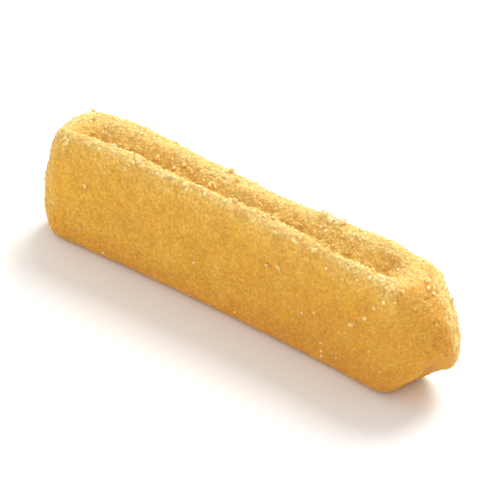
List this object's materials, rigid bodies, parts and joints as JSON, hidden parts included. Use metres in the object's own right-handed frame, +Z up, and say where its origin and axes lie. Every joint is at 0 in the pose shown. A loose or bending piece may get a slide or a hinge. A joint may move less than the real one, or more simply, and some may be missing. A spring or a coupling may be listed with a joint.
{
  "type": "grissini breadstick",
  "caption": "Short, thick baked breadstick with a lengthwise groove between two lips, slanted cut ends, a sandy crust and baked-on salt.",
  "frame": {"origin": "middle of the underside, at the height of the surface the stick rests on", "axes": "+X along the stick, towards its more slanted cut; +Y through its thickness, from the broad face by the narrow lip to the other; +Z up, through its height, to the grooved top"},
  "size_m": [0.06, 0.0094, 0.017],
  "materials": {
    "baked_dough": "matte"
  },
  "bodies": {
    "root": {"breadstick": "baked_dough"}
  },
  "joints": []
}
